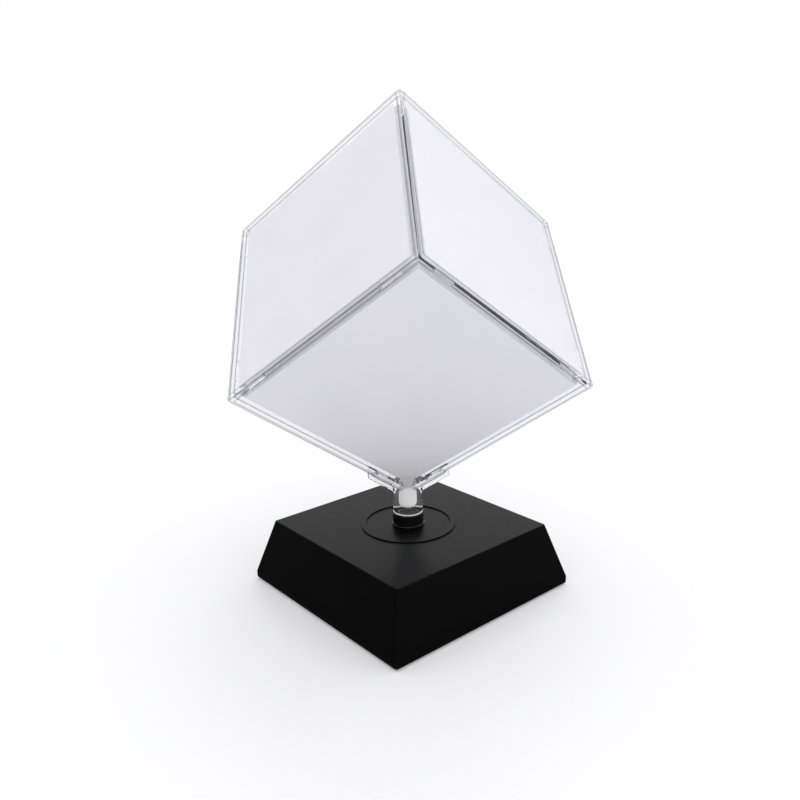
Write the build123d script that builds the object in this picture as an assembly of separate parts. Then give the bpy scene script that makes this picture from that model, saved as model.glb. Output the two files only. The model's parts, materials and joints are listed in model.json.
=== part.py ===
from build123d import *
import math
import os

# Rotating photo cube: a clear cube stands on one corner in a clear holder, and a small battery
# gear motor in the tapered base turns it. Millimetres, +Z up. The origin lies on the turning
# axis, at the plane that the rubber feet stand on, and the base's sides run along X and Y.

os.makedirs("parts", exist_ok=True)

# Cube
cube_edge = 92.0
shell_wall = 2.0
shell_edge_radius = 1.5
seam_gap = 0.08
corner_height = 12.2
rest_turn = 83.25
tab_length = 9.0
tab_height = 2.4
tab_thickness = 1.0
tab_gap = 0.1
tab_inset = 7.0
card_side = 82.5
card_thickness = 0.4
card_gap = 0.05
foam_notch = 3.6

# Holder under the cube's lowest corner
holder_wall = 1.4
holder_gap = 0.05
arm_reach = 22.3
arm_width = 4.6
arm_inner_radius = 4.0
holder_edge_radius = 1.4
stem_radius = 6.05
stem_blend_radius = 3.0
stem_blend_slack = 0.005
edge_shares = (0, 0.5, 1)
stem_bore_radius = 2.8
stem_bore_round = 1.9
stem_bore_floor = 7.7
peg_radius = 3.4
peg_depth = 3.4
peg_gap = 0.03

# Spindle, its bearing and its stop
collar_radius = 6.4
collar_height = 5.3
collar_edge_radius = 0.5
collar_flare = 0.35
spindle_radius = 2.5
tenon_radius = 1.9
shaft_gap = 0.05
flat_depth = 0.5
groove_depth = 0.4
ring_width = 1.7
ring_thickness = 0.7
ring_float = 0.3
bush_wall = 1.5
bush_flange = 1.2
bush_flange_thickness = 0.6
washer_thickness = 0.4
washer_edge = 0.5

# Base housing, its bottom plate and feet
base_side = 92.5
base_top_inset = 6.6
base_height = 25.5
lip_height = 2.6
base_wall = 2.0
base_top_wall = 2.2
base_corner_radius = 1.0
base_top_edge_radius = 0.6
bead_inner_radius = 17.4
bead_outer_radius = 19.4
bead_height = 0.45
plate_thickness = 2.4
plate_gap = 0.15
foot_radius = 4.0
foot_thickness = 2.0
foot_stand = 1.0
foot_inset = 5.6
case_screw_inset = 11.1
case_boss_radius = 3.0
case_screw_radius = 1.3
case_screw_grip = 9.0
screw_head_radius = 2.4
screw_head_height = 1.2
screw_gap = 0.15

# Gear train
gear_module = 0.5
pressure_angle = 20.0
pinion_teeth = 8
wheel_teeth = 48
output_teeth = 56
tooth_backlash = 0.05
root_clearance = 0.15
pinion_shift_share = 0.4
pinion_tip_share = 1.1
wheel_tip_share = 0.5
gear_web = 1.2
gear_rim = 2.2
gear_hub_radius = 3.2
gear_stages = 3
stage_gap = 1.0
end_float = 0.2
hub_rise = 0.6
slim_hub_radius = 1.4
axle_radius = 0.75
axle_gap = 0.05
press_gap = 0.01
second_bearing = -95.0
first_bearing = -22.0
motor_bearing = 30.0

# Gear frame
frame_thickness = 1.6
cover_headroom = 1.1
cover_gap = 1.6
frame_floor = 5.4
frame_margin = 1.4
pillar_radius = 2.3
pillar_gap = 1.1
frame_screw_radius = 0.9
frame_screw_grip = 6.0
frame_head_height = 1.0
mount_boss_radius = 2.8
mount_boss_gap = 1.4
mount_screw_radius = 1.1
mount_screw_grip = 6.0

# Motor
motor_radius = 10.4
motor_pinion_gap = 0.3
motor_wall = 0.8
motor_gap = 0.05
motor_boss_radius = 3.0
motor_boss_height = 0.6
motor_shaft_radius = 1.0
motor_cap_thickness = 1.6
magnet_thickness = 1.9
air_gap = 0.5
armature_poles = 3
armature_neck = 1.5
armature_core_radius = 3.0
armature_shoe = 1.6
armature_end_gap = 1.4
motor_seat = 0.6
motor_pad_outer_radius = 6.6
motor_pad_inner_radius = 3.6
hold_down_radius = 1.5
hold_down_reach = 7.6
hold_down_spread = 55.0

# Battery, its compartment and its door
cell_radius = 7.25
cell_length = 50.5
nub_radius = 2.75
nub_length = 1.0
cell_gap = 0.3
compartment_wall = 1.2
compartment_end = 3.2
contact_thickness = 0.4
contact_side = 10.0
leaf_rise = 2.5
door_thickness = 1.6
door_gap = 0.15
door_lift_gap = 0.1
door_ledge = 1.2
trunnion_radius = 0.45
trunnion_length = 1.0
trunnion_gap = 0.05
tongue_width = 8.0
tongue_height = 2.0
tongue_thickness = 1.0
tongue_gap = 0.2
grip_width = 14.0
grip_height = 1.0
grip_depth = 0.5

# Switch
switch_length = 9.0
switch_width = 5.2
switch_height = 4.6
switch_travel = 3.0
switch_gap = 0.2
knob_length = 3.0
knob_width = 3.2
knob_stem_width = 1.6
well_depth = 1.2
switch_place_shares = (-0.33, -0.28)

# One overrun serves every cut that runs out of its solid
overrun = 2.0

# Heights worked out from the sizes above
plate_bottom = foot_stand
plate_top = plate_bottom + plate_thickness
base_top = plate_bottom + base_height
base_top_side = base_side - 2 * base_top_inset
ceiling = base_top - base_top_wall
corner_z = base_top + corner_height
cube_centre = corner_z + cube_edge * math.sqrt(3) / 2
inner_edge = cube_edge - 2 * shell_wall
foam_edge = inner_edge - 2 * (card_thickness + 2 * card_gap)
washer_top = base_top + washer_thickness
collar_bottom = washer_top + shaft_gap
collar_top = base_top + collar_height
bush_bottom = ceiling - bush_flange_thickness
ring_top = bush_bottom - ring_float
frame_bottom = plate_top + frame_floor - frame_thickness
frame_top = frame_bottom + frame_thickness
cover_top = ceiling - cover_headroom
cover_bottom = cover_top - frame_thickness
level_a = frame_top + end_float + hub_rise
gear_face = (cover_bottom - cover_gap - level_a - 2 * stage_gap) / gear_stages
level_b = level_a + gear_face + stage_gap
level_c = level_b + gear_face + stage_gap
hub_top = cover_bottom - end_float
motor_bottom = plate_top + motor_seat
motor_face = level_c - motor_pinion_gap - motor_boss_height

# Gear radii and centre distances
pinion_pitch = gear_module * pinion_teeth / 2
wheel_pitch = gear_module * wheel_teeth / 2
output_pitch = gear_module * output_teeth / 2
pinion_tip = pinion_pitch + gear_module * pinion_tip_share
wheel_tip = wheel_pitch + gear_module * wheel_tip_share
output_tip = output_pitch + gear_module * wheel_tip_share
pinion_root = pinion_pitch - gear_module * wheel_tip_share - root_clearance
wheel_root = wheel_pitch - gear_module * pinion_tip_share - root_clearance
output_root = output_pitch - gear_module * pinion_tip_share - root_clearance


def polar(start, distance, bearing):
    """The point at a distance and a bearing from a start point, in the plan view."""
    turn = math.radians(bearing)
    return (start[0] + distance * math.cos(turn), start[1] + distance * math.sin(turn))


spindle_axis = (0, 0)
second_axis = polar(spindle_axis, output_pitch + pinion_pitch, second_bearing)
first_axis = polar(second_axis, wheel_pitch + pinion_pitch, first_bearing)
motor_axis = polar(first_axis, wheel_pitch + pinion_pitch, motor_bearing)

# Stations round the gears: the axis that each follows, that wheel's radius and a bearing
pillar_stations = (
    (spindle_axis, output_tip, 139.0),
    (second_axis, wheel_tip, 219.0),
    (first_axis, wheel_tip, -46.0),
    (motor_axis, motor_radius, 83.0),
)
mount_stations = (
    (spindle_axis, output_tip, 210.0),
    (spindle_axis, output_tip, 50.0),
    (motor_axis, motor_radius, 55.0),
)
pillar_places = [
    polar(at, reach + pillar_gap + pillar_radius, turn) for at, reach, turn in pillar_stations
]
mount_places = [
    polar(at, reach + mount_boss_gap + mount_boss_radius, turn) for at, reach, turn in mount_stations
]
case_place = base_side / 2 - base_wall - case_screw_inset
foot_place = base_side / 2 - base_wall - foot_inset
corner_signs = ((1, 1), (-1, 1), (-1, -1), (1, -1))
case_places = [(sx * case_place, sy * case_place) for sx, sy in corner_signs]
foot_places = [(sx * foot_place, sy * foot_place) for sx, sy in corner_signs]
hold_down_places = [
    polar(motor_axis, hold_down_reach, motor_bearing + side * hold_down_spread) for side in (-1, 1)
]

# Battery compartment, seen from above: the cell lies along X behind the gears
compartment_width = 2 * (cell_radius + cell_gap)
compartment_length = cell_length + 2 * compartment_end
compartment_y = output_tip + pillar_gap + mount_boss_radius * 2 + compartment_width / 2 + compartment_wall
cell_z = plate_bottom + door_thickness + cell_gap + cell_radius
compartment_roof = cell_z + cell_radius + cell_gap
hinge_y = compartment_y + compartment_width / 2 + door_ledge - door_gap - door_thickness / 2
hinge_z = plate_bottom + door_thickness / 2
door_length = compartment_length + 2 * (door_ledge - door_gap)
door_front = compartment_y - compartment_width / 2 - door_ledge + door_gap
switch_at = (switch_place_shares[0] * base_side, switch_place_shares[1] * base_side)


def standing_cube_plane():
    """The cube's own frame, with its body diagonal upright and three of its edges along x, y and z."""
    up = 1 / math.sqrt(3)
    out = math.sqrt(2 / 3)
    turn = math.radians(rest_turn + 180)
    spread = math.radians(240)
    x_way = (out * math.cos(turn), out * math.sin(turn), up)
    z_way = (out * math.cos(turn + spread), out * math.sin(turn + spread), up)
    return Plane(origin=(0, 0, cube_centre), x_dir=x_way, z_dir=z_way)


cube_plane = standing_cube_plane()
# Turns that carry the cube's z face to its z, x and y faces
face_turns = (Plane.XY.location, Plane.YZ.location, Plane.ZX.location)


def stand(shape):
    """Places a shape from the cube's own frame into the part's frame."""
    return cube_plane.location * shape


def disc(radius, bottom, top, at=(0, 0)):
    """A round solid between two heights."""
    height = top - bottom
    return Pos(at[0], at[1], bottom + height / 2) * Cylinder(radius, height)


def tube(outer, inner, bottom, top, at=(0, 0)):
    """A round solid with a through bore."""
    return disc(outer, bottom, top, at) - disc(inner, bottom - overrun, top + overrun, at)


def block(x_size, y_size, bottom, top, at=(0, 0)):
    """A rectangular solid between two heights."""
    height = top - bottom
    return Pos(at[0], at[1], bottom + height / 2) * Box(x_size, y_size, height)


def rounded_slab(side, radius, bottom, top):
    """A square solid with rounded upright edges."""
    return Pos(0, 0, bottom) * extrude(RectangleRounded(side, side, radius), amount=top - bottom)


def save(shape, name):
    """Writes one node and keeps its file small by joining its solids into one shape."""
    solids = shape.solids()
    export_step(solids[0] if len(solids) == 1 else Compound(children=solids), f"parts/{name}.step")


# Cube shells


def cube_block(edge, radius):
    """A cube with all its edges rounded."""
    box = Box(edge, edge, edge)
    return fillet(box.edges(), radius)


def face_wedge(side, growth):
    """The slice of the cube that lies behind one face, from inside the wall to outside it."""
    inner = cube_edge / 4
    outer = cube_edge / 2 + overrun
    near = Pos(0, 0, side * inner) * Rectangle(2 * (inner + growth), 2 * (inner + growth))
    far = Pos(0, 0, side * outer) * Rectangle(2 * (outer + growth), 2 * (outer + growth))
    return loft([near, far], ruled=True)


def hollow_cube():
    """The whole clear box before it is parted."""
    return cube_block(cube_edge, shell_edge_radius) - Box(inner_edge, inner_edge, inner_edge)


def shell_tabs():
    """Short tongues on the lower shell that locate the upper shell along the zigzag seam."""
    half = inner_edge / 2
    across = half - tab_gap - tab_thickness / 2
    standing = -half + tab_height / 2
    tab = Box(tab_thickness, tab_length, tab_height)
    tabs = []
    for turn in face_turns:
        for swap in (Rotation(0, 0, 0), Rotation(0, 0, 90)):
            for end in (-1, 1):
                along = end * (half - tab_inset - tab_length / 2)
                tabs.append(turn * swap * Pos(across, along, standing) * tab)
    return tabs


def upper_shell():
    shell = hollow_cube()
    for turn in face_turns:
        shell -= turn * face_wedge(-1, 0)
    return stand(shell)


def lower_shell():
    shell = hollow_cube()
    for turn in face_turns:
        shell -= turn * face_wedge(1, seam_gap)
    for tab in shell_tabs():
        shell += tab
    return stand(shell)


def foam_core():
    """The foam cube that presses the cards flat, with its twelve edges cut back."""
    core = Box(foam_edge, foam_edge, foam_edge)
    place = foam_edge / 2
    bar = Box(2 * foam_notch, 2 * foam_notch, foam_edge + 2 * overrun)
    for turn in face_turns:
        for sx, sy in corner_signs:
            core -= turn * Pos(sx * place, sy * place, 0) * bar
    return stand(core)


def photo_card(turn, side):
    """One square card between a wall and the foam."""
    place = side * (inner_edge / 2 - card_gap - card_thickness / 2)
    return stand(turn * Pos(0, 0, place) * Box(card_side, card_side, card_thickness))


# Holder and spindle


def cradle_block():
    """The solid corner that the three arms are cut from, in the cube's own frame."""
    size = holder_wall + arm_reach
    centre = -cube_edge / 2 - holder_wall + size / 2
    return Pos(centre, centre, centre) * cube_block(size, holder_edge_radius)


def cradle_windows():
    """The three square openings that leave an arm along each lower edge of the cube."""
    half = cube_edge / 2
    side = 2 * arm_reach
    place = -half + arm_width + side / 2
    sketch = RectangleRounded(side, side, arm_inner_radius)
    window = extrude(sketch, amount=holder_wall + arm_reach, both=True)
    return [turn * Pos(place, place, -half) * window for turn in face_turns]


def on_stem_wall(edge):
    """True for an edge that lies along the stem's round wall, where the cradle meets it."""
    points = [edge.position_at(share) for share in edge_shares]
    off = max(abs(math.hypot(p.X, p.Y) - stem_radius) for p in points)
    return off < stem_blend_slack and min(p.Z for p in points) > corner_z


def holder():
    """The clear holder: cradle, cored stem with its blend, and the peg in the spindle's collar."""
    stem = disc(stem_radius, collar_top, corner_z + 2 * stem_radius)
    body = stand(cradle_block()) + stem
    joins = body.edges().filter_by(on_stem_wall)
    body = fillet(joins, stem_blend_radius)
    column = disc(stem_radius + stem_blend_radius / 2, collar_top, corner_z + 2 * stem_radius)
    for window in cradle_windows():
        body -= stand(window) - column
    body -= stand(cube_block(cube_edge + 2 * holder_gap, shell_edge_radius + holder_gap))
    bore_floor = base_top + stem_bore_floor
    bore = disc(stem_bore_radius, bore_floor, corner_z + stem_radius)
    bore = fillet(bore.edges().sort_by(Axis.Z)[:1], stem_bore_round)
    peg = disc(peg_radius, collar_top - peg_depth, collar_top + overrun / 2)
    return body - bore + peg


def spindle():
    """Collar, shaft, clip groove and tenon, turned in one piece, with a flat for the gear."""
    socket_floor = collar_top - peg_depth - peg_gap
    ring_bottom = ring_top - ring_thickness
    groove = spindle_radius - groove_depth
    profile = Polyline(
        (0, frame_bottom),
        (tenon_radius, frame_bottom),
        (tenon_radius, frame_top + end_float / 2),
        (spindle_radius, frame_top + end_float / 2),
        (spindle_radius, ring_bottom - press_gap),
        (groove, ring_bottom - press_gap),
        (groove, ring_top + press_gap),
        (spindle_radius, ring_top + press_gap),
        (spindle_radius, collar_bottom),
        (collar_radius + collar_flare, collar_bottom),
        (collar_radius + collar_flare, collar_bottom + shaft_gap),
        (collar_radius, collar_bottom + collar_flare),
        (collar_radius, collar_top),
        (peg_radius + peg_gap, collar_top),
        (peg_radius + peg_gap, socket_floor),
        (0, socket_floor),
        close=True,
    )
    body = revolve(Plane.XZ * make_face(profile.edges()), Axis.Z)
    rounds = body.edges().filter_by(GeomType.CIRCLE)
    rim = rounds.filter_by(lambda e: abs(e.radius - collar_radius) < shaft_gap).sort_by(Axis.Z)[-1:]
    body = fillet(rim, collar_edge_radius)
    return body - gear_flat(0, level_a - hub_rise, level_a + gear_face)


def gear_flat(gap, bottom, top):
    """The space beyond the spindle's flat, which keys the output gear."""
    start = spindle_radius - flat_depth + gap
    return block(2 * spindle_radius, 4 * spindle_radius, bottom, top, (start + spindle_radius, 0))


def retaining_ring():
    groove = spindle_radius - groove_depth + press_gap
    ring = tube(groove + ring_width, groove, ring_top - ring_thickness, ring_top)
    mouth = 2 * groove - groove_depth
    return ring - block(mouth, 4 * groove, ring_top - 2 * ring_thickness, base_top, (0, 2 * groove))


def spindle_bush():
    bore = spindle_radius + shaft_gap
    bush = disc(bore + bush_wall, bush_bottom, base_top)
    bush += disc(bore + bush_wall + bush_flange, bush_bottom, ceiling)
    return bush - disc(bore, bush_bottom - overrun, base_top + overrun)


def thrust_washer():
    return tube(collar_radius - washer_edge, spindle_radius + shaft_gap, base_top, washer_top)


# Gears


def involute(angle):
    return math.tan(angle) - angle


def tooth_half_angle(radius, teeth, shift):
    """Half the angle that a tooth takes up at a radius, by the involute's formula."""
    pitch = gear_module * teeth / 2
    alpha = math.radians(pressure_angle)
    at_radius = math.acos(min(1.0, pitch * math.cos(alpha) / radius))
    at_pitch = math.pi / (2 * teeth) + 2 * shift * math.tan(alpha) / teeth - tooth_backlash / (2 * pitch)
    return at_pitch + involute(alpha) - involute(at_radius)


def gear_blank(teeth, shift, root, tip, flank_steps, bottom, top, phase):
    """A straight-cut gear with one tooth's centre at the phase angle."""
    points = []
    radii = [root + (tip - root) * step / flank_steps for step in range(flank_steps + 1)]
    for tooth in range(teeth):
        middle = math.radians(phase) + tooth * 2 * math.pi / teeth
        rising = [(r, middle - tooth_half_angle(r, teeth, shift)) for r in radii]
        falling = [(r, middle + tooth_half_angle(r, teeth, shift)) for r in reversed(radii)]
        points += [(r * math.cos(a), r * math.sin(a)) for r, a in rising + falling]
    return Pos(0, 0, bottom) * extrude(Polygon(*points, align=None), amount=top - bottom)


def pinion(bottom, top, phase):
    return gear_blank(pinion_teeth, pinion_shift_share, pinion_root, pinion_tip, 3, bottom, top, phase)


def webbed(gear, root, bottom, top):
    """Thins a wheel between its hub and its rim, from both sides."""
    depth = (top - bottom - gear_web) / 2
    rim = root - gear_rim
    return gear - tube(rim, gear_hub_radius, bottom - overrun, bottom + depth) - tube(
        rim, gear_hub_radius, top - depth, top + overrun
    )


def wheel(bottom, phase):
    top = bottom + gear_face
    gear = gear_blank(wheel_teeth, -pinion_shift_share, wheel_root, wheel_tip, 1, bottom, top, phase)
    return webbed(gear, wheel_root, bottom, top)


def output_gear():
    """The large gear on the spindle, keyed by the spindle's flat."""
    top = level_a + gear_face
    gear = gear_blank(
        output_teeth, -pinion_shift_share, output_root, output_tip, 1, level_a, top, second_bearing
    )
    gear = webbed(gear, output_root, level_a, top)
    hub = 2 * spindle_radius
    gear += disc(hub, level_a - hub_rise, top)
    bore = disc(spindle_radius + press_gap, level_a - overrun, top + overrun)
    return gear - (bore - gear_flat(press_gap, level_a - overrun, top + overrun))


def gap_phase(bearing, teeth):
    """The phase that turns a gap between two teeth back towards the gear on a bearing."""
    return bearing + 180 + 180 / teeth


def second_gear():
    gear = pinion(frame_top + end_float, level_b, gap_phase(second_bearing, pinion_teeth))
    gear += wheel(level_b, first_bearing)
    gear += disc(slim_hub_radius, level_b + gear_face, hub_top)
    gear -= disc(axle_radius + axle_gap, frame_bottom, cover_top)
    return Pos(*second_axis, 0) * gear


def first_gear():
    gear = disc(slim_hub_radius, frame_top + end_float, level_b)
    gear += pinion(level_b - stage_gap / 2, level_c, gap_phase(first_bearing, pinion_teeth))
    gear += wheel(level_c, motor_bearing)
    gear += disc(slim_hub_radius, level_c + gear_face, hub_top)
    gear -= disc(axle_radius + axle_gap, frame_bottom, cover_top)
    return Pos(*first_axis, 0) * gear


def gear_axle(at):
    return disc(axle_radius, frame_bottom, cover_top, at)


# Gear frame


def frame_outline(places):
    """A rounded outline round the pillars and some further places."""
    rounds = [Pos(*at) * Circle(pillar_radius + frame_margin) for at in pillar_places + places]
    return make_hull([edge for disc_sketch in rounds for edge in disc_sketch.edges()])


def frame_holes(bottom, top):
    """The holes that hold the two gear axles."""
    return [disc(axle_radius + press_gap, bottom, top, at) for at in (first_axis, second_axis)]


def gear_frame():
    """The lower plate with its pillars, mounting ears and the ring round the motor."""
    plate = Pos(0, 0, frame_bottom) * extrude(frame_outline(mount_places), amount=frame_thickness)
    lobe = motor_radius + motor_gap + frame_margin
    plate += disc(lobe, frame_bottom, frame_top, motor_axis)
    for at in pillar_places:
        plate += disc(pillar_radius, frame_bottom, cover_bottom, at)
    plate += disc(tenon_radius + frame_margin * 2, frame_bottom, frame_top)
    plate -= disc(motor_radius + motor_gap, frame_bottom - overrun, frame_top + overrun, motor_axis)
    plate -= disc(tenon_radius + shaft_gap, frame_bottom - overrun, frame_top + overrun)
    for at in mount_places:
        plate -= disc(mount_screw_radius + screw_gap, frame_bottom - overrun, frame_top + overrun, at)
    for at in pillar_places:
        plate -= disc(frame_screw_radius, cover_bottom - frame_screw_grip, cover_bottom + overrun, at)
    for hole in frame_holes(frame_bottom - overrun, frame_top + overrun):
        plate -= hole
    return plate


def gear_cover():
    """The upper plate, which closes the gear frame and holds the motor down."""
    cover = Pos(0, 0, cover_bottom) * extrude(frame_outline(hold_down_places), amount=frame_thickness)
    for at in hold_down_places:
        cover += disc(hold_down_radius, motor_face, cover_top, at)
    ring_outer = spindle_radius - groove_depth + ring_width
    cover -= disc(ring_outer + bush_flange, cover_bottom - overrun, cover_top + overrun)
    for at in mount_places:
        cover -= disc(mount_boss_radius + screw_gap, cover_bottom - overrun, cover_top + overrun, at)
    for at in pillar_places:
        cover -= disc(frame_screw_radius + screw_gap, cover_bottom - overrun, cover_top + overrun, at)
    for hole in frame_holes(cover_bottom - overrun, cover_top + overrun):
        cover -= hole
    return cover


def screw(radius, grip, clamp, at, down, head_height):
    """A plain screw. The head lies on the clamp height, and the shank runs down or up from it."""
    way = -1 if down else 1
    head_end = clamp - way * head_height
    tip = clamp + way * grip
    shank = disc(radius, min(clamp, tip), max(clamp, tip), at)
    return shank + disc(screw_head_radius, min(clamp, head_end), max(clamp, head_end), at)


def gear_frame_screws():
    grip = frame_thickness + frame_screw_grip - overrun
    screws = [screw(frame_screw_radius, grip, cover_top, at, True, frame_head_height) for at in pillar_places]
    return Compound(children=screws)


def gear_mount_screws():
    grip = frame_thickness + mount_screw_grip
    screws = [
        screw(mount_screw_radius, grip, frame_bottom, at, False, screw_head_height) for at in mount_places
    ]
    return Compound(children=screws)


def case_screws():
    grip = plate_thickness - screw_head_height + case_screw_grip
    seat = plate_bottom + screw_head_height
    screws = [screw(case_screw_radius, grip, seat, at, False, screw_head_height) for at in case_places]
    return Compound(children=screws)


# Motor


def motor_can():
    """A flat round can, open at the bottom, with a bearing boss on its face."""
    inner = motor_radius - motor_wall
    can = disc(motor_radius, motor_bottom, motor_face)
    can = fillet(can.edges().sort_by(Axis.Z)[-1:], motor_wall)
    can += disc(motor_boss_radius, motor_face, motor_face + motor_boss_height)
    can -= disc(inner, motor_bottom - overrun, motor_face - motor_wall)
    can -= disc(motor_shaft_radius + shaft_gap, motor_face - overrun, motor_face + overrun)
    return Pos(*motor_axis, 0) * can


def motor_end_cap():
    """The plastic cap that closes the can and carries the shaft's lower end."""
    inner = motor_radius - motor_wall - press_gap
    cap = disc(inner, motor_bottom, motor_bottom + motor_cap_thickness)
    cap += disc(motor_boss_radius, motor_bottom, motor_bottom + motor_cap_thickness + motor_wall)
    cap -= disc(motor_shaft_radius + shaft_gap, motor_bottom + motor_wall, motor_face)
    return Pos(*motor_axis, 0) * cap


def motor_magnets():
    """Two arc magnets against the can's wall."""
    outer = motor_radius - motor_wall - press_gap
    low = motor_bottom + motor_cap_thickness + press_gap
    ring = tube(outer, outer - magnet_thickness, low, motor_face - motor_wall - press_gap)
    ring -= block(2 * motor_radius, outer - magnet_thickness, low - overrun, motor_face)
    return Pos(*motor_axis, 0) * ring


def armature():
    """The three-pole rotor core on the motor's shaft."""
    reach = motor_radius - motor_wall - magnet_thickness - air_gap
    low = motor_bottom + motor_cap_thickness + armature_end_gap
    high = motor_face - motor_wall - armature_end_gap
    core = disc(armature_core_radius, low, high)
    shoes = tube(reach, reach - armature_shoe, low, high)
    for pole in range(armature_poles):
        turn = 360 * pole / armature_poles
        core += Rotation(0, 0, turn) * block(reach, 2 * armature_neck, low, high, (reach / 2, 0))
        gap_turn = turn + 180 / armature_poles
        shoes -= Rotation(0, 0, gap_turn) * block(reach * 2, 2 * armature_neck, low, high, (reach, 0))
    core = (core & disc(reach - armature_shoe / 2, low, high)) + shoes
    core -= disc(motor_shaft_radius + press_gap, low - overrun, high + overrun)
    return Pos(*motor_axis, 0) * core


def motor_shaft():
    low = motor_bottom + motor_wall + end_float
    return disc(motor_shaft_radius, low, level_c + gear_face + stage_gap / 2, motor_axis)


def motor_pinion():
    gear = pinion(level_c, level_c + gear_face, gap_phase(motor_bearing, pinion_teeth))
    gear -= disc(motor_shaft_radius + press_gap, level_c - overrun, level_c + gear_face + overrun)
    return Pos(*motor_axis, 0) * gear


# Base


def outer_side(height):
    """The housing's outer side at a height over its lower edge."""
    taper = (base_side - base_top_side) / (base_height - lip_height)
    return base_side - taper * max(0, height - lip_height)


def tapered_block(shrink, bottom, lip_top, top):
    """The housing's form: an upright lip and a tapered body, each drawn in by the same amount."""
    lower = outer_side(0) - 2 * shrink
    upper = outer_side(top - plate_bottom) - 2 * shrink
    radius = max(base_corner_radius - shrink, base_corner_radius / 2)
    lip = rounded_slab(lower, radius, bottom, lip_top)
    foot_sketch = Pos(0, 0, lip_top) * RectangleRounded(lower, lower, radius)
    top_sketch = Pos(0, 0, top) * RectangleRounded(upper, upper, radius)
    return lip + loft([foot_sketch, top_sketch], ruled=True)


def base_housing():
    """The tapered cover with its raised ring, bearing hole, screw bosses and gear bosses."""
    lip_top = plate_bottom + lip_height
    body = tapered_block(0, plate_bottom, lip_top, base_top)
    body = fillet(body.faces().sort_by(Axis.Z)[-1].edges(), base_top_edge_radius)
    body -= tapered_block(base_wall, plate_bottom - overrun, lip_top, ceiling)
    body += tube(bead_outer_radius, bead_inner_radius, base_top, base_top + bead_height)
    body -= disc(spindle_radius + shaft_gap + bush_wall + press_gap, ceiling - overrun, base_top + overrun)
    for at in case_places:
        bore_top = plate_top + case_screw_grip + overrun
        boss = disc(case_boss_radius, plate_top, ceiling, at)
        body += boss - disc(case_screw_radius, plate_top - overrun, bore_top, at)
    for at in mount_places:
        bore_top = frame_top + mount_screw_grip + overrun
        boss = disc(mount_boss_radius, frame_top, ceiling, at)
        body += boss - disc(mount_screw_radius, frame_top - overrun, bore_top, at)
    return body


def compartment_shell():
    """The box round the cell, open at the bottom, with slots for the two contacts."""
    outer_length = compartment_length + 2 * compartment_wall
    outer_width = compartment_width + 2 * compartment_wall
    at = (0, compartment_y)
    shell = block(outer_length, outer_width, plate_top, compartment_roof + compartment_wall, at)
    return shell - block(compartment_length, compartment_width, plate_top - overrun, compartment_roof, at)


def base_plate():
    """The bottom cover with the cell's compartment, door opening, foot recesses and screw seats."""
    side = outer_side(0) - 2 * (base_wall + plate_gap)
    plate = rounded_slab(side, base_corner_radius, plate_bottom, plate_top)
    plate += compartment_shell()
    at = (0, compartment_y)
    plate -= block(compartment_length, compartment_width, plate_bottom - overrun, plate_top + overrun, at)
    rebate_top = plate_bottom + door_thickness + door_lift_gap
    rebate_length = compartment_length + 2 * door_ledge
    plate -= block(rebate_length, compartment_width + 2 * door_ledge, plate_bottom - overrun, rebate_top, at)
    pin_span = door_length + 2 * (trunnion_length + door_gap)
    pin_bore = Rotation(0, 90, 0) * Cylinder(trunnion_radius + trunnion_gap, pin_span)
    plate -= Pos(0, hinge_y, hinge_z) * pin_bore
    grip_at = (0, door_front - door_gap - grip_height)
    plate -= block(grip_width, 2 * grip_height, plate_bottom - overrun, plate_bottom + grip_depth, grip_at)
    for at in foot_places:
        recess = plate_bottom + foot_thickness - foot_stand
        plate -= disc(foot_radius + press_gap, plate_bottom - overrun, recess, at)
    for at in case_places:
        plate -= disc(case_screw_radius + screw_gap, plate_bottom - overrun, plate_top + overrun, at)
        seat = plate_bottom + screw_head_height
        plate -= disc(screw_head_radius + screw_gap, plate_bottom - overrun, seat, at)
    plate += tube(motor_pad_outer_radius, motor_pad_inner_radius, plate_top, motor_bottom, motor_axis)
    slot_length = knob_length + switch_travel + 2 * switch_gap
    plate -= block(
        slot_length, knob_width + 2 * switch_gap, plate_bottom - overrun, plate_bottom + well_depth, switch_at
    )
    plate -= block(
        slot_length, knob_stem_width + 2 * switch_gap, plate_bottom, plate_top + overrun, switch_at
    )
    return plate


def rubber_foot(at):
    foot = disc(foot_radius, 0, foot_thickness, at)
    return fillet(foot.edges().sort_by(Axis.Z)[:1], foot_stand / 3)


def switch_body():
    """The slide switch's case, which stands on the bottom plate over the slot."""
    top = plate_top + switch_height
    case = block(switch_length, switch_width, plate_top, top, switch_at)
    pocket_length = knob_length + switch_travel + 2 * switch_gap
    pocket_top = top - compartment_wall
    pocket_width = knob_width + 2 * switch_gap
    return case - block(pocket_length, pocket_width, plate_top - overrun, pocket_top, switch_at)


def switch_knob():
    """The knob at the off end of its slot: a grip in the well, a neck and a foot in the case."""
    at = (switch_at[0] - switch_travel / 2, switch_at[1])
    well_top = plate_bottom + well_depth - switch_gap
    grip = block(knob_length, knob_width, plate_bottom + switch_gap / 2, well_top, at)
    neck = block(knob_length, knob_stem_width, well_top - switch_gap / 2, plate_top + switch_gap, at)
    inner_top = plate_top + switch_height - compartment_wall - switch_gap
    return grip + neck + block(knob_length, knob_width, plate_top + switch_gap, inner_top, at)


def battery_cell():
    """A round cell along X, with its raised end towards +X."""
    body = cell_length - nub_length
    cell = Pos(-nub_length / 2, 0, 0) * Rotation(0, 90, 0) * Cylinder(cell_radius, body)
    cell = fillet(cell.edges().filter_by(GeomType.CIRCLE), cell_gap)
    nub_at = cell_length / 2 - nub_length / 2
    nub = Pos(nub_at - overrun / 2, 0, 0) * Rotation(0, 90, 0) * Cylinder(nub_radius, nub_length + overrun)
    return Pos(0, compartment_y, cell_z) * (cell + nub)


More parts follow.
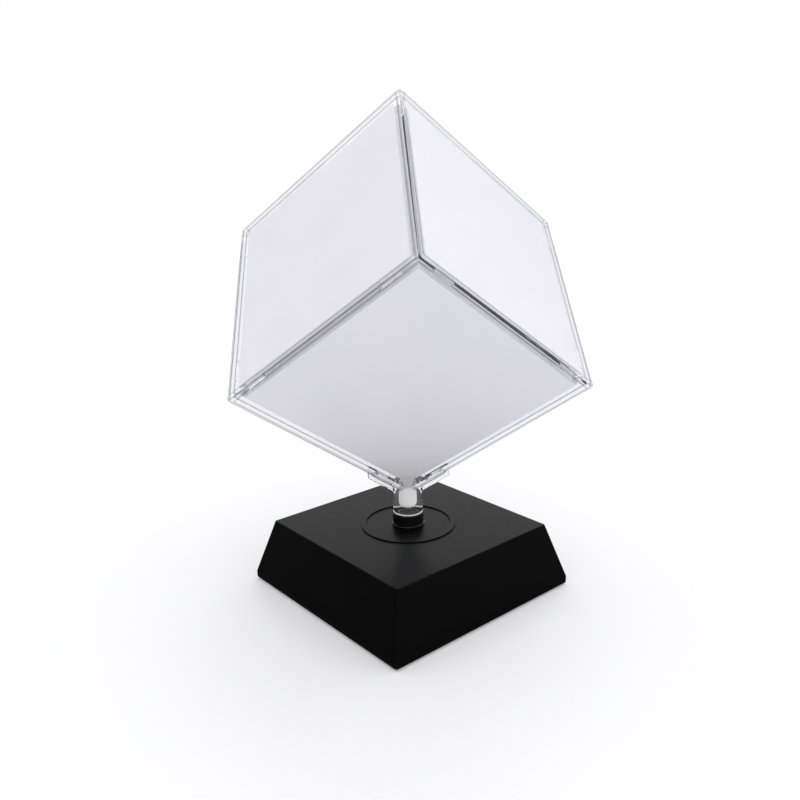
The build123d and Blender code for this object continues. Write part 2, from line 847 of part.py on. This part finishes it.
def contact_plate():
    """The flat contact at the cell's raised end."""
    end = compartment_length / 2
    return Pos(end - contact_thickness / 2, compartment_y, cell_z) * Box(
        contact_thickness, contact_side, contact_side
    )


def contact_leaf():
    """The bent leaf spring that presses on the cell's flat end."""
    end = -compartment_length / 2
    crest = -cell_length / 2
    half = contact_side / 2
    foot = contact_thickness * half / (crest - end)
    profile = Polyline(
        (end, -half),
        (crest, 0),
        (end, half),
        (end, half - foot),
        (crest - contact_thickness, 0),
        (end, foot - half),
        close=True,
    )
    leaf = extrude(Plane.XZ * make_face(profile.edges()), amount=leaf_rise, both=True)
    return Pos(0, compartment_y, cell_z) * leaf


def battery_door():
    """The flush lid, with half-round hinge edge, two trunnions and a latch tongue."""
    top = plate_bottom + door_thickness
    width = hinge_y - door_front
    lid = block(door_length, width, plate_bottom, top, (0, door_front + width / 2))
    lid += Pos(0, hinge_y, hinge_z) * Rotation(0, 90, 0) * Cylinder(door_thickness / 2, door_length)
    span = door_length + 2 * trunnion_length
    lid += Pos(0, hinge_y, hinge_z) * Rotation(0, 90, 0) * Cylinder(trunnion_radius, span)
    edge = hinge_y - (compartment_y - compartment_width / 2) - tongue_gap
    swing = math.sqrt(edge**2 - (tongue_height + door_thickness / 2) ** 2)
    tongue_y = hinge_y - swing + tongue_thickness / 2
    return lid + block(tongue_width, tongue_thickness, top, top + tongue_height, (0, tongue_y))


# Build every node
save(upper_shell(), "upper_shell")
save(lower_shell(), "lower_shell")
save(holder(), "holder")
save(foam_core(), "foam_core")
card_number = 0
for turn in face_turns:
    for side in (1, -1):
        card_number += 1
        save(photo_card(turn, side), f"photo_card_{card_number}")
save(spindle(), "spindle")
save(retaining_ring(), "retaining_ring")
save(output_gear(), "output_gear")
save(second_gear(), "second_gear")
save(first_gear(), "first_gear")
save(gear_axle(second_axis), "second_gear_axle")
save(gear_axle(first_axis), "first_gear_axle")
save(gear_frame(), "gear_frame")
save(gear_cover(), "gear_cover")
save(gear_frame_screws(), "gear_frame_screws")
save(gear_mount_screws(), "gear_mount_screws")
save(motor_can(), "motor_can")
save(motor_end_cap(), "motor_end_cap")
save(motor_magnets(), "motor_magnets")
save(armature(), "armature")
save(motor_shaft(), "motor_shaft")
save(motor_pinion(), "motor_pinion")
save(base_housing(), "base_housing")
save(base_plate(), "base_plate")
save(spindle_bush(), "spindle_bush")
save(thrust_washer(), "thrust_washer")
for number, at in enumerate(foot_places, start=1):
    save(rubber_foot(at), f"rubber_foot_{number}")
save(case_screws(), "case_screws")
save(switch_body(), "switch_body")
save(switch_knob(), "switch_knob")
save(battery_cell(), "battery_cell")
save(contact_plate(), "contact_plate")
save(contact_leaf(), "contact_leaf")
save(battery_door(), "battery_door")
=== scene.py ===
import json
import math

import bmesh
import bpy
from mathutils import Matrix, Vector, noise


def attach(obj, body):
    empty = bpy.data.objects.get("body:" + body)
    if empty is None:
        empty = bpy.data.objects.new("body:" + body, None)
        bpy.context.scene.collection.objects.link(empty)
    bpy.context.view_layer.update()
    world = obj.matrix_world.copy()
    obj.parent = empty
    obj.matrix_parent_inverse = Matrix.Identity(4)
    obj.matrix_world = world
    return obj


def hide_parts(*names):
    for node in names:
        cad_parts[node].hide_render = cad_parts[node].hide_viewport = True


# A clear cube of blank cards on one corner, over a tapered black base. Metres, in the CAD frame.

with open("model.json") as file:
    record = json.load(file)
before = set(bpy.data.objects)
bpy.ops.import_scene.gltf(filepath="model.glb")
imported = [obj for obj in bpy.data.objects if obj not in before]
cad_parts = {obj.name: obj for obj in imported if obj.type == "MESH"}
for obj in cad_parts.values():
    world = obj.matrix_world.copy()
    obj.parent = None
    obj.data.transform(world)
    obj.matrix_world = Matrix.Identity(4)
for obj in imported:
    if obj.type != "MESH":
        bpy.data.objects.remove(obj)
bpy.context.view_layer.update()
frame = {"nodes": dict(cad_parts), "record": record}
nodes = frame["nodes"]
MM = 0.001

# The cube stands on one corner, so its body diagonal is upright
REST_TURN = math.radians(83.25)
CUBE_CENTRE = Vector((0, 0, 118.374)) * MM
CUBE_HALF = 46.0 * MM
WALL = 2.0 * MM


def cube_matrix():
    """Carries the cube's own frame into the part's frame."""
    up, out = 1 / math.sqrt(3), math.sqrt(2 / 3)
    axes = []
    for turn in (0, 120, 240):
        angle = REST_TURN + math.pi + math.radians(turn)
        axes.append(Vector((out * math.cos(angle), out * math.sin(angle), up)))
    return Matrix.Translation(CUBE_CENTRE) @ Matrix(axes).transposed().to_4x4()


def add_object(name, data):
    """A new object in the scene."""
    obj = bpy.data.objects.new(name, data)
    bpy.context.scene.collection.objects.link(obj)
    return obj


# Materials

# Most noise lies between these two values
NOISE_LOW, NOISE_HIGH = 0.3, 0.7
# A Mix node's sockets for colours, by number, since those for its other kinds have the same names
MIX_SHARE, MIX_FIRST, MIX_SECOND, MIX_RESULT = 0, 6, 7, 2
# Painted shade lines along the cube's edges, in place of the bands that refracting clear edges show:
# millimetres in from the edge, and the share of light kept
PAINTED_EDGE_SHADE = ((0, 0.68), (0.45, 0.55), (0.8, 1), (1.6, 1), (1.85, 0.45), (2.15, 0.45), (2.4, 1))
PAINTED_EDGE_SHADE_BLUE = 1.06
# How much farther in the lines lie on a wall's inner side
INNER_LINE_SHIFT = 0.65 * MM
# How far a clear face has turned away, of 1, where its painted rim shade starts
RIM_SHADE_START = 0.66


class Tree:
    """A node tree with short calls for the nodes that it uses. Values are outputs or plain ones."""

    def __init__(self, tree):
        self.tree = tree
        tree.nodes.clear()

    def new(self, kind):
        """A new shader node of this kind."""
        return self.tree.nodes.new("ShaderNode" + kind)

    def feed(self, source, target):
        """Gives an input another node's output, or a plain value."""
        if isinstance(source, bpy.types.NodeSocket):
            self.tree.links.new(source, target)
        else:
            target.default_value = source

    def calculate(self, operation, first, second=None, clamp=False):
        """The result of one operation on one or two values."""
        node = self.new("Math")
        node.operation, node.use_clamp = operation, clamp
        self.feed(first, node.inputs[0])
        if second is not None:
            self.feed(second, node.inputs[1])
        return node.outputs[0]

    def reach(self, vector, direction):
        """How far a vector reaches along a direction."""
        node = self.new("VectorMath")
        node.operation = "DOT_PRODUCT"
        node.inputs[1].default_value = direction
        self.feed(vector, node.inputs[0])
        return node.outputs["Value"]

    def carried(self, value, span, onto=(0.0, 1.0)):
        """A value carried from one span onto another, and held at its ends."""
        node = self.new("MapRange")
        node.inputs["From Min"].default_value, node.inputs["From Max"].default_value = span
        node.inputs["To Min"].default_value, node.inputs["To Max"].default_value = onto
        self.feed(value, node.inputs["Value"])
        return node.outputs["Result"]

    def between(self, share, first, second):
        """A value between two others, at this share of the way."""
        node = self.new("Mix")
        for name, value in (("Factor", share), ("A", first), ("B", second)):
            self.feed(value, node.inputs[name])
        return node.outputs["Result"]

    def ramp(self, value, stops):
        """The colour at this value on a ramp with stops of a position and a colour."""
        node = self.new("ValToRGB")
        elements = node.color_ramp.elements
        # New stops start half way, between the ramp's own two, and are moved before they are coloured
        while len(elements) < len(stops):
            elements.new(0.5)
        for element, (position, _) in zip(elements, stops):
            element.position = position
        for element, (_, colour) in zip(elements, stops):
            element.color = (*colour, 1)
        self.feed(value, node.inputs["Fac"])
        return node.outputs["Color"]


class Graph(Tree):
    """A material of one shader, whose looks vary with the place on the object."""

    def __init__(self, name):
        self.mat = bpy.data.materials.new(name)
        self.mat.use_nodes = True
        super().__init__(self.mat.node_tree)
        self.out = self.new("OutputMaterial")
        self.shader = self.new("BsdfPrincipled")
        self.place = self.new("TexCoord").outputs["Object"]
        self.surface(self.shader)

    def surface(self, shader):
        """Makes this shader the one that the material shows."""
        self.feed(shader.outputs[0], self.out.inputs["Surface"])

    def set(self, **values):
        """Sets the main shader's inputs, whose names have _ for a space."""
        for name, value in values.items():
            self.shader.inputs[name.replace("_", " ")].default_value = value

    def mapped(self, way, value):
        """The place after a Mapping node's Location or Scale."""
        node = self.new("Mapping")
        node.inputs[way].default_value = value
        self.feed(self.place, node.inputs["Vector"])
        return node.outputs[0]

    def noise(self, size, detail=2.0, place=None):
        """Noise with features of about this size, in millimetres."""
        node = self.new("TexNoise")
        node.inputs["Scale"].default_value = 1 / (size * MM)
        node.inputs["Detail"].default_value = detail
        self.feed(place or self.place, node.inputs["Vector"])
        return node.outputs["Fac"]

    def cells(self, size):
        """Round cells of about this size, in millimetres."""
        node = self.new("TexVoronoi")
        node.inputs["Scale"].default_value = 1 / (size * MM)
        self.feed(self.place, node.inputs["Vector"])
        return node.outputs["Distance"]

    def colour(self, value, dark, light, low=NOISE_LOW, high=NOISE_HIGH):
        """Varies the base colour between two shades."""
        self.feed(self.ramp(value, ((low, dark), (high, light))), self.shader.inputs["Base Color"])

    def tinted(self, blend, share, tint):
        """Blends a tint over the base colour by this share."""
        node = self.new("Mix")
        node.data_type, node.blend_type = "RGBA", blend
        base = self.shader.inputs["Base Color"]
        self.feed(share, node.inputs[MIX_SHARE])
        self.feed(base.links[0].from_socket, node.inputs[MIX_FIRST])
        self.feed(tint, node.inputs[MIX_SECOND])
        self.feed(node.outputs[MIX_RESULT], base)

    def paint_rim_shade(self, tint):
        """Painted shade: deepens the base colour where a clear face turns away, darkening its silhouette
        well beyond what its longer path gives.
        """
        turned = self.new("LayerWeight").outputs["Facing"]
        self.tinted("MIX", self.carried(turned, (RIM_SHADE_START, 1.0)), (*tint, 1))

    def cube_reaches(self):
        """The greatest and the middle one of the place's reaches along the cube's three axes."""
        from_centre = self.mapped("Location", -CUBE_CENTRE)
        axes = cube_matrix().to_3x3().transposed()
        a, b, c = (self.calculate("ABSOLUTE", self.reach(from_centre, axis)) for axis in axes)
        low, high = self.calculate("MINIMUM", a, b), self.calculate("MAXIMUM", a, b)
        middle = self.calculate("MAXIMUM", low, self.calculate("MINIMUM", high, c))
        return self.calculate("MAXIMUM", high, c), middle

    def paint_edge_shade(self, lines):
        """Paints shade lines into the walls' colour along the cube's edges."""
        greatest, middle = self.cube_reaches()
        inner_side = self.calculate("LESS_THAN", greatest, CUBE_HALF - WALL / 2)
        middle = self.calculate("ADD", middle, self.calculate("MULTIPLY", inner_side, INNER_LINE_SHIFT))
        width = lines[-1][0]
        inward = self.carried(middle, (CUBE_HALF, CUBE_HALF - width * MM))
        stops = [(at / width, (kept, kept, min(1, kept * PAINTED_EDGE_SHADE_BLUE))) for at, kept in lines]
        self.tinted("MULTIPLY", 1.0, self.ramp(inward, stops))

    def rough(self, value, low, high):
        """Varies the roughness between two values."""
        self.feed(self.carried(value, (NOISE_LOW, NOISE_HIGH), (low, high)), self.shader.inputs["Roughness"])

    def bump(self, height, depth, strength=1.0, below=None):
        """Relief of about this depth, in millimetres, over another relief or the bare face."""
        node = self.new("Bump")
        node.inputs["Strength"].default_value = strength
        node.inputs["Distance"].default_value = depth * MM
        self.feed(height, node.inputs["Height"])
        if below is not None:
            self.feed(below, node.inputs["Normal"])
        self.feed(node.outputs["Normal"], self.shader.inputs["Normal"])
        return node.outputs["Normal"]

    def either(self, share, first, second):
        """Two shaders mixed, with this share of the second."""
        node = self.new("MixShader")
        for source, target in zip((share, first.outputs[0], second.outputs[0]), node.inputs):
            self.feed(source, target)
        return node

    def lamp_light_passes(self, tint):
        """Lets the lamps' light through, so that what stands behind isn't in full shadow."""
        clear = self.new("BsdfTransparent")
        clear.inputs["Color"].default_value = (*tint, 1)
        self.surface(self.either(self.new("LightPath").outputs["Is Shadow Ray"], self.shader, clear))


def shades(colour, spread):
    """A darker and a lighter neighbour of a colour."""
    return [c * (1 - spread) for c in colour], [min(1, c * (1 + spread)) for c in colour]


def clear_plastic(name, tint, wave, shadow, ior, turned, lines=None):
    """Polished clear plastic with the slight waves of a moulded wall.

    The wave's depth is in millimetres. Lamp light that passes is tinted by shadow; turned is the
    painted shade of faces that turn away, and lines the painted shade lines along the cube's edges.
    """
    g = Graph(name)
    g.colour(g.noise(18.0), *shades(tint, spread=0.008))
    g.rough(g.noise(9.0, detail=3.0), low=0.0, high=0.02)
    g.bump(g.noise(14.0, detail=1.0), depth=wave)
    # Painted shade lines along the cube's edges, where lines are given
    if lines:
        g.paint_edge_shade(lines)
    # Painted shade where the clear faces turn away
    g.paint_rim_shade(turned)
    g.set(Transmission_Weight=0.97, IOR=ior)
    g.lamp_light_passes(shadow)
    return g.mat


def moulded(name, colour, spread, rough, grain, depth, specular):
    """Opaque moulded plastic: a fine spark texture, faint cloudiness and uneven sheen.

    The texture's grain and depth are in millimetres.
    """
    g = Graph(name)
    sheen, wave = grain * 6, grain * 12
    g.colour(g.noise(12.0, detail=4.0), *shades(colour, spread))
    g.rough(g.noise(sheen, detail=4.0), *rough)
    g.bump(g.noise(grain, detail=3.0), depth, below=g.bump(g.noise(wave, detail=1.0), depth))
    g.set(IOR=1.5, Specular_IOR_Level=specular)
    return g.mat


def metal(name, colour, rough, stretch, scratch):
    """Turned, drawn or plated metal with a fine directional grain, of this size in millimetres."""
    g = Graph(name)
    along = g.mapped("Scale", stretch)
    g.colour(g.noise(0.8, detail=5.0, place=along), *shades(colour, spread=0.08))
    g.rough(g.noise(0.5, detail=4.0, place=along), *rough)
    g.bump(g.noise(scratch, detail=3.0, place=along), depth=0.004)
    g.set(Metallic=1.0)
    return g.mat


def card_paper():
    """Blank satin card with fine fibres and a faint cockle."""
    g = Graph("card_paper")
    cockle = g.bump(g.noise(24.0, detail=1.0), depth=0.15, strength=0.5)
    g.bump(g.noise(0.25, detail=4.0), depth=0.006, below=cockle)
    g.colour(g.noise(22.0, detail=3.0), dark=(0.91, 0.91, 0.935), light=(0.93, 0.93, 0.955))
    g.rough(g.noise(3.0, detail=4.0), low=0.45, high=0.6)
    g.set(IOR=1.45, Specular_IOR_Level=0.3)
    return g.mat


def foam_cells():
    """Fine-celled white foam, lightest at the cells' centres."""
    g = Graph("foam_cells")
    dents = g.bump(g.noise(6.0), depth=0.2, strength=0.5)
    g.bump(g.cells(0.5), depth=0.15, strength=0.6, below=dents)
    g.colour(g.cells(0.5), (0.94, 0.94, 0.95), (0.86, 0.86, 0.88), low=0.0, high=0.6)
    g.rough(g.noise(2.0), low=0.85, high=0.95)
    g.set(Subsurface_Weight=0.1, Subsurface_Scale=0.001)
    return g.mat


def frosted():
    """The matt, light-filled face of a moulding core in clear plastic; on the foot ring it is a painted
    highlight.
    """
    g = Graph("core_frost")
    g.colour(g.noise(1.5, detail=3.0), dark=(0.96, 0.96, 0.97), light=(0.98, 0.98, 0.99))
    g.rough(g.noise(0.6, detail=3.0), low=0.5, high=0.65)
    g.bump(g.noise(0.3, detail=3.0), depth=0.01)
    g.set(IOR=1.2, Subsurface_Weight=0.3, Subsurface_Scale=0.002)
    return g.mat


def cell_jacket():
    """A plain satin sleeve, shrunk round the cell, with a faint lengthwise drawing."""
    g = Graph("cell_jacket_satin")
    along = g.mapped("Scale", (0.05, 1, 1))
    g.colour(g.noise(1.2, detail=4.0, place=along), dark=(0.5, 0.51, 0.53), light=(0.58, 0.59, 0.61))
    g.rough(g.noise(0.9, detail=3.0, place=along), low=0.25, high=0.38)
    g.bump(g.noise(0.7, detail=3.0, place=along), depth=0.004)
    g.set(Metallic=0.6)
    return g.mat


def rubber():
    """Dull black rubber with a fine grain."""
    g = Graph("foot_rubber")
    g.colour(g.noise(1.5, detail=4.0), dark=(0.02, 0.02, 0.02), light=(0.045, 0.045, 0.045))
    g.rough(g.noise(0.8, detail=4.0), low=0.75, high=0.95)
    g.bump(g.noise(0.3, detail=4.0), depth=0.02)
    g.set(Specular_IOR_Level=0.25)
    return g.mat


finishes = {
    "clear_acrylic": clear_plastic(
        "shell_clear", tint=(0.98, 0.98, 0.995), wave=0.02, shadow=(0.98, 0.98, 0.99), ior=1.13,
        turned=(0.35, 0.35, 0.4), lines=PAINTED_EDGE_SHADE,
    ),
    "clear_stem": clear_plastic(
        "holder_clear", tint=(0.975, 0.975, 0.985), wave=0.03, shadow=(0.98, 0.98, 0.98), ior=1.14,
        turned=(0.75, 0.75, 0.78),
    ),
    "photo_card": card_paper(),
    "white_foam": foam_cells(),
    "black_satin": moulded(
        "base_satin", (0.0025, 0.0025, 0.0028), spread=0.12, rough=(0.3, 0.36), grain=0.35, depth=0.006,
        specular=0.1,
    ),
    "black_gloss": moulded(
        "collar_gloss", (0.004, 0.004, 0.004), spread=0.1, rough=(0.08, 0.14), grain=0.6, depth=0.003,
        specular=0.5,
    ),
    "white_gear": moulded(
        "gear_natural", (0.72, 0.71, 0.67), spread=0.04, rough=(0.32, 0.42), grain=0.5, depth=0.008,
        specular=0.5,
    ),
    "grey_plastic": moulded(
        "frame_grey", (0.16, 0.165, 0.175), spread=0.08, rough=(0.4, 0.5), grain=0.4, depth=0.015,
        specular=0.4,
    ),
    "washer_plastic": moulded(
        "washer_dark", (0.02, 0.02, 0.02), spread=0.1, rough=(0.3, 0.4), grain=0.5, depth=0.006,
        specular=0.4,
    ),
    "rubber_foot": rubber(),
    "brass": metal("turned_brass", (0.72, 0.52, 0.24), rough=(0.18, 0.3), stretch=(1, 1, 12), scratch=0.4),
    "screw_steel": metal(
        "plated_screw", (0.56, 0.56, 0.57), rough=(0.22, 0.34), stretch=(1, 1, 10), scratch=0.3
    ),
    "spring_steel": metal(
        "nickel_spring", (0.66, 0.65, 0.62), rough=(0.12, 0.22), stretch=(1, 8, 1), scratch=0.3
    ),
    "motor_steel": metal("drawn_can", (0.5, 0.5, 0.51), rough=(0.28, 0.4), stretch=(1, 1, 0.1), scratch=0.4),
    "magnet": metal("sintered_dark", (0.1, 0.1, 0.105), rough=(0.5, 0.65), stretch=(1, 1, 1), scratch=0.2),
    "cell_jacket": cell_jacket(),
}
slot_of = {s["node"]: s["material_slot"] for s in frame["record"]["subparts"]}
for node, obj in nodes.items():
    for place in obj.material_slots:
        place.material = finishes[slot_of[node]]

# Foam core

FOAM_HALF = 43.5 * MM
FOAM_NOTCH = 3.6 * MM
# The notch's wall is cut into rows at these shares of its depth
FOAM_NOTCH_ROWS = (0.35, 0.7)
FOAM_STEPS = 24
# The skin beyond this height over the notch's floor is sunk by about this share, unevenly
FOAM_SKIN = 0.1 * MM
FOAM_SINK = 0.0025
FOAM_GRAIN = 4 * MM
FOAM_GRAIN_START = Vector((0.3, 0.7, 0.1))
ARRIS_WIDTH, ARRIS_SEGMENTS = 0.5 * MM, 2
ARRIS_ANGLE = math.radians(50)
# Points that agree to this many digits of a metre are one point
SAME_POINT_DIGITS = 6


def foam_block():
    """The foam cube with its twelve edges cut back, soft arrises and a slightly sunk, uneven skin."""
    deep = FOAM_HALF - FOAM_NOTCH
    across = [-deep + 2 * deep * i / FOAM_STEPS for i in range(FOAM_STEPS + 1)]
    rise = [deep, *(deep + share * FOAM_NOTCH for share in FOAM_NOTCH_ROWS), FOAM_HALF]
    bm = bmesh.new()
    points = {}

    def point(place):
        key = tuple(round(c, SAME_POINT_DIGITS) for c in place)
        if key not in points:
            points[key] = bm.verts.new(place)
        return points[key]

    def sheet(place, us, vs):
        """A grid of faces over two rows of values, which the call place turns into points."""
        for u0, u1 in zip(us, us[1:]):
            for v0, v1 in zip(vs, vs[1:]):
                bm.faces.new([point(place(u, v)) for u, v in ((u0, v0), (u1, v0), (u1, v1), (u0, v1))])

    def put(axis, side, w, u, v):
        """The point at w along this axis, on this side, and at u and v along the next two."""
        p = [0.0, 0.0, 0.0]
        p[axis], p[(axis + 1) % 3], p[(axis + 2) % 3] = side * w, u, v
        return p

    for axis in range(3):
        for side in (-1, 1):
            sheet(lambda u, v: put(axis, side, FOAM_HALF, u, v), across, across)
            for edge in (-deep, deep):
                sheet(lambda u, w: put(axis, side, w, u, edge), across, rise)
                sheet(lambda v, w: put(axis, side, w, edge, v), across, rise)
    bmesh.ops.recalc_face_normals(bm, faces=bm.faces)
    for v in bm.verts:
        if max(abs(c) for c in v.co) > deep + FOAM_SKIN:
            v.co *= 1 - FOAM_SINK * (1 + noise.noise(v.co / FOAM_GRAIN + FOAM_GRAIN_START))
    mesh = bpy.data.meshes.new("foam_block")
    bm.to_mesh(mesh)
    bm.free()
    mesh.transform(cube_matrix())
    mesh.materials.append(finishes["white_foam"])
    for face in mesh.polygons:
        face.use_smooth = True
    piece = add_object("foam_block", mesh)
    soft = piece.modifiers.new("arris", "BEVEL")
    soft.width, soft.segments, soft.angle_limit = ARRIS_WIDTH, ARRIS_SEGMENTS, ARRIS_ANGLE
    piece.modifiers.new("shade", "WEIGHTED_NORMAL")
    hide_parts("foam_core")
    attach(piece, "cube")


foam_block()

# Frosted faces inside the clear stem: the matt skin of its moulded bore, and a thin white ring, a painted
# highlight that stands for the light gathered at its foot. Heights are over the table.

CORE_RADIUS = 3.2 * MM
CORE_FLOOR = 33.9 * MM
CORE_TOP = 43.9 * MM
# The rounding between the bore's floor and its wall
CORE_ROUND = 2.2 * MM
CORE_ROUND_STEPS = 12
CORE_WALL_STEPS = 8
FOOT_INNER, FOOT_OUTER = 5.3 * MM, 5.9 * MM
FOOT_LOW, FOOT_HIGH = 31.88 * MM, 32.2 * MM
AROUND = 64


def core_outline():
    """The bore's skin from its rounded floor up, as radii and heights."""
    outline = []
    for step in range(CORE_ROUND_STEPS + 1):
        angle = math.pi / 2 * step / CORE_ROUND_STEPS
        radius = CORE_RADIUS - CORE_ROUND + CORE_ROUND * math.sin(angle)
        outline.append((radius, CORE_FLOOR + CORE_ROUND * (1 - math.cos(angle))))
    straight = CORE_TOP - outline[-1][1]
    for step in range(1, CORE_WALL_STEPS + 1):
        outline.append((CORE_RADIUS, CORE_TOP - straight * (1 - step / CORE_WALL_STEPS)))
    return outline


def foot_outline():
    """The ring's section, as radii and heights."""
    return [(FOOT_INNER, FOOT_LOW), (FOOT_OUTER, FOOT_LOW), (FOOT_OUTER, FOOT_HIGH), (FOOT_INNER, FOOT_HIGH)]


def turned_piece(name, outline, material, ring):
    """An outline turned round the upright axis: a ring closed on itself, or a skin capped at its ends."""
    bm = bmesh.new()
    turns = [2 * math.pi * i / AROUND for i in range(AROUND)]
    rows = []
    for radius, height in outline:
        rows.append([bm.verts.new((radius * math.cos(a), radius * math.sin(a), height)) for a in turns])
    if not ring:
        bm.faces.new(list(reversed(rows[0])))
        bm.faces.new(rows[-1])
    for low, high in zip(rows, rows[1:] + (rows[:1] if ring else [])):
        for i in range(AROUND):
            j = (i + 1) % AROUND
            bm.faces.new((low[i], low[j], high[j], high[i]))
    mesh = bpy.data.meshes.new(name)
    bm.to_mesh(mesh)
    bm.free()
    mesh.materials.append(material)
    for face in mesh.polygons:
        face.use_smooth = len(face.vertices) == 4
    piece = add_object(name, mesh)
    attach(piece, "cube")


core_frost = frosted()
turned_piece("stem_core", core_outline(), core_frost, ring=False)
# A white ring that paints the highlight gathered at the stem's foot
turned_piece("stem_foot_highlight", foot_outline(), core_frost, ring=True)

# Floor, light and camera

FLOOR_HALF = 40.0
# What the camera sees is lifted by this much, so that the lit floor is white
FLOOR_GLOW = 0.13
# The floor's colour in mirrored rays, which keeps the black base black
FLOOR_MIRRORED = (0.12, 0.12, 0.125)
# The studio's light on the object, and its darkest in mirrored rays, where 1 is white
STUDIO_LEVEL = 0.86
STUDIO_NEAR = 0.06
# It turns from dark to white between these reaches along BACK_WAY
STUDIO_TURN = (0.1, 0.9)
# Name, bearing, height over the horizon, strength, spread, and whether it casts shadows
LAMPS = (
    ("key", 170, 55, 0.35, 30, True),
    ("front", 50, 25, 0.6, 120, False),
    ("under", 20, -60, 0.95, 100, False),
)
LAMP_DISTANCE = 2
# The photograph's camera, by the fit to the cube's corners
CAMERA_EYE = Vector((243.96, -208.25, 172.55)) * MM
CAMERA_TARGET = Vector((-13.115, 8.397, 87.63)) * MM
CAMERA_ROLL = math.radians(-1.26)
CAMERA_LENS, CAMERA_SENSOR, CAMERA_SHIFT = 37.75, 36.0, -0.0375
CAMERA_CLIP = (0.01, 100.0)
CAMERA_AZIMUTH = math.radians(49.88)
# Level and straight away from the camera
BACK_WAY = Vector((-math.sin(CAMERA_AZIMUTH), math.cos(CAMERA_AZIMUTH), 0))


def stage_floor():
    """A wide pale floor that keeps the object's shadow and is white where it is lit."""
    g = Graph("floor_pale")
    g.colour(g.noise(400.0), (0.86, 0.86, 0.875), (0.87, 0.87, 0.885))
    g.rough(g.noise(60.0), 0.8, 0.9)
    g.set(Specular_IOR_Level=0.0)
    path = g.new("LightPath").outputs
    dim, glow, both = g.new("BsdfDiffuse"), g.new("Emission"), g.new("AddShader")
    dim.inputs["Color"].default_value = (*FLOOR_MIRRORED, 1)
    g.feed(g.calculate("MULTIPLY", path["Is Camera Ray"], FLOOR_GLOW), glow.inputs["Strength"])
    # A ray that passes through clear plastic counts as a mirrored one too, and sees the pale floor
    mirrored = g.calculate("SUBTRACT", path["Is Glossy Ray"], path["Is Transmission Ray"], clamp=True)
    g.feed(g.either(mirrored, g.shader, dim).outputs[0], both.inputs[0])
    g.feed(glow.outputs[0], both.inputs[1])
    g.surface(both)
    mesh = bpy.data.meshes.new("floor")
    corners = [(x * FLOOR_HALF, y * FLOOR_HALF, 0) for x, y in ((-1, -1), (1, -1), (1, 1), (-1, 1))]
    mesh.from_pydata(corners, [], [(0, 1, 2, 3)])
    mesh.materials.append(g.mat)
    floor = add_object("floor", mesh)


def studio_world():
    """White for the camera and through clear plastic. Mirrored rays see it dark on the camera's side."""
    world = bpy.data.worlds.new("studio")
    world.use_nodes = True
    tree = Tree(world.node_tree)
    path = tree.new("LightPath").outputs
    behind = tree.reach(tree.new("TexCoord").outputs["Generated"], BACK_WAY)
    mirrored = tree.carried(behind, STUDIO_TURN, (STUDIO_NEAR, 1.0))
    seen = tree.between(path["Is Glossy Ray"], STUDIO_LEVEL, mirrored)
    direct = tree.calculate("MAXIMUM", path["Is Camera Ray"], path["Is Transmission Ray"])
    back, out = tree.new("Background"), tree.new("OutputWorld")
    back.inputs["Color"].default_value = (1, 1, 1, 1)
    tree.feed(tree.between(direct, seen, 1.0), back.inputs["Strength"])
    tree.feed(back.outputs[0], out.inputs["Surface"])
    bpy.context.scene.world = world


def soft_lamp(name, bearing, height, strength, spread, shadow):
    """A soft lamp. Its bearing is from the camera's side of the object to the right. Angles in degrees."""
    data = bpy.data.lights.new(name, "SUN")
    data.energy, data.angle, data.use_shadow = strength, math.radians(spread), shadow
    a, e = CAMERA_AZIMUTH + math.radians(bearing), math.radians(height)
    way = Vector((math.sin(a) * math.cos(e), -math.cos(a) * math.cos(e), math.sin(e)))
    lamp = add_object(name, data)
    lamp.location = way * LAMP_DISTANCE
    lamp.rotation_mode = "QUATERNION"
    lamp.rotation_quaternion = way.to_track_quat("Z", "Y")


def photo_camera():
    """The camera at the photograph's angle."""
    data = bpy.data.cameras.new("camera")
    data.lens, data.sensor_width, data.sensor_fit = CAMERA_LENS, CAMERA_SENSOR, "HORIZONTAL"
    data.shift_y = CAMERA_SHIFT
    data.clip_start, data.clip_end = CAMERA_CLIP
    ahead = (CAMERA_TARGET - CAMERA_EYE).normalized()
    right = ahead.cross(Vector((0, 0, 1))).normalized()
    up = right.cross(ahead)
    tilted_right = math.cos(CAMERA_ROLL) * right + math.sin(CAMERA_ROLL) * up
    tilted_up = math.cos(CAMERA_ROLL) * up - math.sin(CAMERA_ROLL) * right
    turn = Matrix((tilted_right, tilted_up, -ahead)).transposed()
    camera = add_object("camera", data)
    camera.matrix_world = Matrix.Translation(CAMERA_EYE) @ turn.to_4x4()
    bpy.context.scene.camera = camera


stage_floor()
studio_world()
for lamp in LAMPS:
    soft_lamp(*lamp)
photo_camera()
bpy.context.scene.view_settings.view_transform = "Standard"

bpy.context.view_layer.update()
